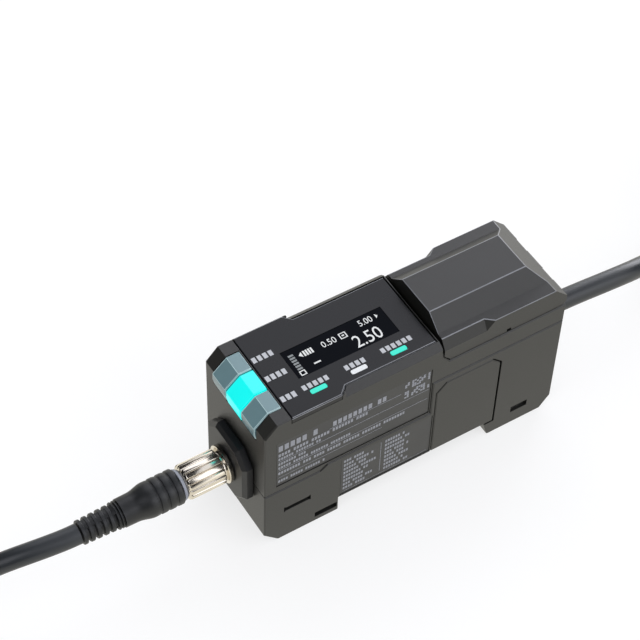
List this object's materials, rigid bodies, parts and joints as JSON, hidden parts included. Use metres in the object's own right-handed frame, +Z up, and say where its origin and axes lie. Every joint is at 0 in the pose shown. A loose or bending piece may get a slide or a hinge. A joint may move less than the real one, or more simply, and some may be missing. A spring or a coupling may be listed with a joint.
{
  "type": "laser displacement sensor amplifier",
  "caption": "Slim rail-mounted amplifier for a laser displacement sensor: display panel, indicator lenses, hinged key cover, round plug and two free cables.",
  "frame": {"origin": "on the plane of the soles of the feet, at the middle of the rigid unit's box in plan", "axes": "+X runs from the round plug to the rear cable, +Y across the slim width, +Z up from the rail side to the display"},
  "size_m": [0.4708, 0.0446, 0.0559],
  "materials": {
    "case": "fine spark-eroded grain",
    "gloss_panel": "glossy screen-printed film",
    "display_pane": "smoked display window",
    "display_parts": "display module body",
    "clear_lens": "frosted light guide, unlit",
    "lit_lens": "frosted light guide, lit",
    "pale_bar": "milky light bar, unlit",
    "nickel": "bright nickel plate",
    "steel": "spring and pin steel",
    "rubber": "moulded cable elastomer",
    "seal": "grey sealing washer",
    "jacket": "satin cable jacket",
    "key": "moulded key caps",
    "board": "solder-masked board",
    "socket_block": "moulded connector block",
    "contacts": "gilt contacts in a dark insert",
    "wires": "insulated wire tails"
  },
  "bodies": {
    "housing": {"base_case": "case", "upper_case": "case", "display_panel": "gloss_panel", "display_window": "display_pane", "display_module": "display_parts", "light_bar_1": "lit_lens", "light_bar_2": "pale_bar", "light_bar_3": "lit_lens", "lens_near": "clear_lens", "lens_middle": "lit_lens", "lens_far": "clear_lens", "hinge_pin": "steel", "slider_spring": "steel", "switch_enter": "steel", "switch_up": "steel", "switch_down": "steel", "switch_left": "steel", "switch_right": "steel", "display_board": "board", "main_board": "board", "board_connector": "socket_block", "link_connector_near": "socket_block", "link_connector_far": "socket_block", "connector_flange": "rubber", "receptacle_shell": "nickel", "contact_insert": "contacts", "seal_ring": "seal", "plug_insert": "socket_block", "plug_body": "rubber", "front_cable": "jacket", "front_hank": "jacket", "front_tie": "rubber", "head_socket": "rubber", "head_socket_sleeve": "nickel", "cable_bush": "rubber", "rear_cable": "jacket", "rear_hank": "jacket", "rear_tie": "rubber", "wire_tails": "wires"},
    "cover": {"key_cover": "case"},
    "nut": {"coupling_nut": "nickel"},
    "slider": {"rail_slider": "case"},
    "near_link_cover": {"link_cover_near": "case"},
    "far_link_cover": {"link_cover_far": "case"},
    "enter_key": {"key_enter": "key"},
    "up_key": {"key_up": "key"},
    "down_key": {"key_down": "key"},
    "left_key": {"key_left": "key"},
    "right_key": {"key_right": "key"}
  },
  "joints": [
    {"name": "cover_hinge", "type": "hinge", "parent": "housing", "child": "cover", "pos_m": [0.0461, 0, 0.0456], "axis": [0, 1, 0], "range_deg": [0, 95]},
    {"name": "nut_turn", "type": "hinge", "parent": "housing", "child": "nut", "pos_m": [-0.0562, 0, 0.02275], "axis": [1, 0, 0], "continuous": true},
    {"name": "slider_pull", "type": "slide", "parent": "housing", "child": "slider", "axis": [-1, 0, 0], "range_m": [0, 0.003], "stiffness_N_per_m": 1500, "deforming": ["slider_spring"]},
    {"name": "near_cover_pull", "type": "slide", "parent": "housing", "child": "near_link_cover", "axis": [0, -1, 0], "range_m": [0, 0.008]},
    {"name": "far_cover_pull", "type": "slide", "parent": "housing", "child": "far_link_cover", "axis": [0, 1, 0], "range_m": [0, 0.008]},
    {"name": "enter_press", "type": "slide", "parent": "housing", "child": "enter_key", "axis": [0, 0, -1], "range_m": [0, 0.00025], "stiffness_N_per_m": 500},
    {"name": "up_press", "type": "slide", "parent": "housing", "child": "up_key", "axis": [0, 0, -1], "range_m": [0, 0.00025], "stiffness_N_per_m": 500},
    {"name": "down_press", "type": "slide", "parent": "housing", "child": "down_key", "axis": [0, 0, -1], "range_m": [0, 0.00025], "stiffness_N_per_m": 500},
    {"name": "left_press", "type": "slide", "parent": "housing", "child": "left_key", "axis": [0, 0, -1], "range_m": [0, 0.00025], "stiffness_N_per_m": 500},
    {"name": "right_press", "type": "slide", "parent": "housing", "child": "right_key", "axis": [0, 0, -1], "range_m": [0, 0.00025], "stiffness_N_per_m": 500}
  ]
}
